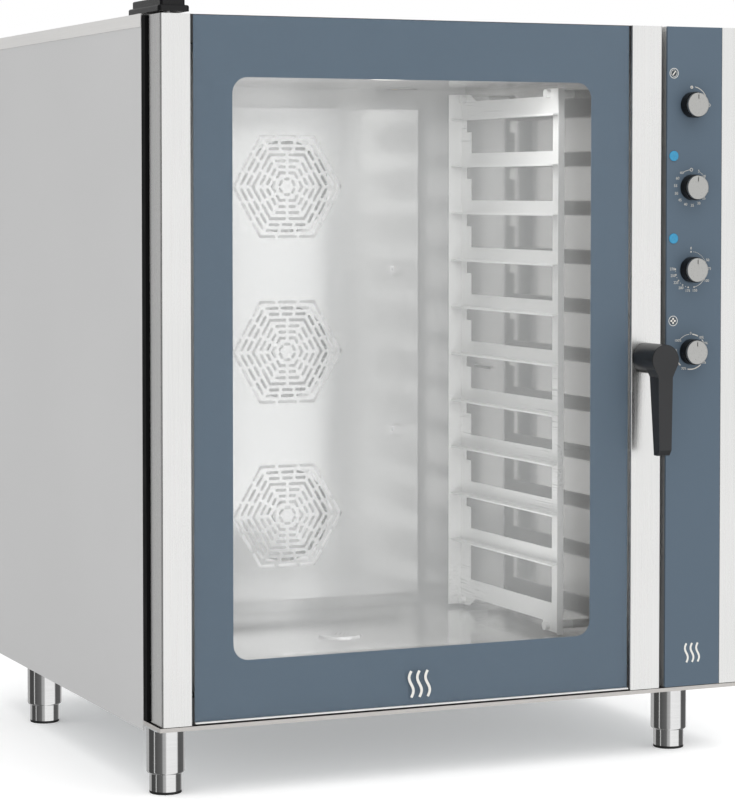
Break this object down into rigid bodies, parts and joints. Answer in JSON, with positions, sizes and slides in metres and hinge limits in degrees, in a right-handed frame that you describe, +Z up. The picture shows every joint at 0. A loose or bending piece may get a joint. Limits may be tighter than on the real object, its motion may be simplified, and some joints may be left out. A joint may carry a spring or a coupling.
{
  "type": "combi steamer oven",
  "caption": "Tall floor-standing combi steamer oven with a side-hinged glazed door, tray racks, baffled fans, a rotary-knob control column and levelling feet.",
  "frame": {"origin": "on the floor under the middle of the whole oven, feet and rear fittings included", "axes": "+Z up, +X to the right seen from the front, -Y towards the user in front of the door"},
  "size_m": [0.982, 0.964, 1.175],
  "materials": {
    "painted_side": "satin light grey",
    "cover_steel": "fine brushed",
    "galvanised": "zinc coated, matt",
    "cavity_steel": "bright, fine brushed",
    "trim_steel": "fine brushed",
    "rail_black": "black powder coat behind the glass edge",
    "rack_steel": "bright",
    "mineral_wool": "fibrous",
    "fan_steel": "satin",
    "motor_alloy": "matt",
    "element_sheath": "heat tinted",
    "pipe_steel": "satin",
    "valve_brass": "satin",
    "lamp_glass": "clear",
    "black_plastic": "smooth",
    "screw_steel": "bright",
    "leg_chrome": "polished",
    "foot_steel": "polished, black rubber pad below",
    "blue_grey_enamel": "blue-grey print behind glass",
    "knob_black": "black skirt, satin metal cap",
    "regulator_plastic": "moulded",
    "pilot_blue": "light blue lens",
    "clear_glass": "clear",
    "black_rubber": "matt",
    "bracket_steel": "satin",
    "handle_black": "fine texture"
  },
  "bodies": {
    "cabinet": {"left_side_panel": "painted_side", "right_side_panel": "painted_side", "top_cover": "cover_steel", "rear_panel": "galvanised", "base_panel": "galvanised", "front_frame": "cavity_steel", "drip_tray": "trim_steel", "cavity_ceiling": "cavity_steel", "cavity_floor": "cavity_steel", "cavity_side_walls": "cavity_steel", "cavity_rear_wall": "cavity_steel", "insulation": "mineral_wool", "motor_bulkhead": "galvanised", "fan_baffle": "cavity_steel", "baffle_screws": "cavity_steel", "rack_left": "rack_steel", "rack_right": "rack_steel", "rack_studs": "rack_steel", "fan_motors": "motor_alloy", "heating_elements": "element_sheath", "steam_pipe": "pipe_steel", "water_valve": "valve_brass", "drain_strainer": "cavity_steel", "drain_pipe": "pipe_steel", "exhaust_flue": "pipe_steel", "cavity_lamp": "lamp_glass", "temperature_probe": "pipe_steel", "cable_gland": "black_plastic", "panel_screws": "screw_steel", "leg_tubes": "leg_chrome", "control_fascia": "blue_grey_enamel", "control_profile": "trim_steel", "regulators": "regulator_plastic", "pilot_lamps": "pilot_blue", "electrical_plate": "galvanised", "door_gasket": "black_rubber", "hinge_brackets": "bracket_steel", "hinge_cap": "black_plastic", "latch_keeper": "bracket_steel"},
    "door": {"door_left_profile": "trim_steel", "door_right_profile": "trim_steel", "door_rails": "rail_black", "door_outer_glass": "clear_glass", "door_enamel": "blue_grey_enamel", "door_inner_glass": "clear_glass", "door_inner_frame": "cavity_steel"},
    "handle": {"door_handle": "handle_black", "latch_spindle": "bracket_steel"},
    "damper_knob": {"damper_knob": "knob_black"},
    "timer_knob": {"timer_knob": "knob_black"},
    "thermostat_knob": {"thermostat_knob": "knob_black"},
    "steam_knob": {"steam_knob": "knob_black"},
    "fan_1": {"fan_1": "fan_steel"},
    "fan_2": {"fan_2": "fan_steel"},
    "fan_3": {"fan_3": "fan_steel"},
    "damper_flap": {"damper_flap": "pipe_steel"},
    "foot_1": {"foot_1": "foot_steel"},
    "foot_2": {"foot_2": "foot_steel"},
    "foot_3": {"foot_3": "foot_steel"},
    "foot_4": {"foot_4": "foot_steel"}
  },
  "joints": [
    {"name": "door_hinge", "type": "hinge", "parent": "cabinet", "child": "door", "pos_m": [-0.468, -0.396, 0.6], "axis": [0, 0, -1], "range_deg": [0, 120]},
    {"name": "handle_turn", "type": "hinge", "parent": "door", "child": "handle", "pos_m": [0.311, -0.418, 0.6264], "axis": [0, 1, 0], "range_deg": [0, 90]},
    {"name": "damper_knob_turn", "type": "hinge", "parent": "cabinet", "child": "damper_knob", "pos_m": [0.3918, -0.418, 1.0204], "axis": [0, 1, 0], "range_deg": [0, 90]},
    {"name": "timer_knob_turn", "type": "hinge", "parent": "cabinet", "child": "timer_knob", "pos_m": [0.3918, -0.418, 0.8916], "axis": [0, 1, 0], "range_deg": [-25.7, 308.6]},
    {"name": "thermostat_knob_turn", "type": "hinge", "parent": "cabinet", "child": "thermostat_knob", "pos_m": [0.3918, -0.418, 0.7628], "axis": [0, 1, 0], "range_deg": [0, 270]},
    {"name": "steam_knob_turn", "type": "hinge", "parent": "cabinet", "child": "steam_knob", "pos_m": [0.3918, -0.418, 0.634], "axis": [0, 1, 0], "range_deg": [0, 270]},
    {"name": "fan_1_spin", "type": "hinge", "parent": "cabinet", "child": "fan_1", "pos_m": [-0.072, 0.166, 0.893], "axis": [0, 1, 0], "continuous": true},
    {"name": "fan_2_spin", "type": "hinge", "parent": "cabinet", "child": "fan_2", "pos_m": [-0.072, 0.166, 0.616], "axis": [0, 1, 0], "continuous": true},
    {"name": "fan_3_spin", "type": "hinge", "parent": "cabinet", "child": "fan_3", "pos_m": [-0.072, 0.166, 0.34], "axis": [0, 1, 0], "continuous": true},
    {"name": "damper_flap_turn", "type": "hinge", "parent": "cabinet", "child": "damper_flap", "pos_m": [0.15, 0.148, 1.12], "axis": [1, 0, 0], "range_deg": [0, 90]},
    {"name": "foot_1_screw", "type": "hinge", "parent": "cabinet", "child": "foot_1", "pos_m": [-0.4606, -0.358, 0.034], "axis": [0, 0, 1], "range_deg": [0, 720]},
    {"name": "foot_2_screw", "type": "hinge", "parent": "cabinet", "child": "foot_2", "pos_m": [0.389, -0.358, 0.034], "axis": [0, 0, 1], "range_deg": [0, 720]},
    {"name": "foot_3_screw", "type": "hinge", "parent": "cabinet", "child": "foot_3", "pos_m": [-0.4606, 0.245, 0.034], "axis": [0, 0, 1], "range_deg": [0, 720]},
    {"name": "foot_4_screw", "type": "hinge", "parent": "cabinet", "child": "foot_4", "pos_m": [0.389, 0.245, 0.034], "axis": [0, 0, 1], "range_deg": [0, 720]}
  ],
  "couplings": [
    {"joint": "damper_flap_turn", "follows": "damper_knob_turn", "ratio": 1}
  ]
}
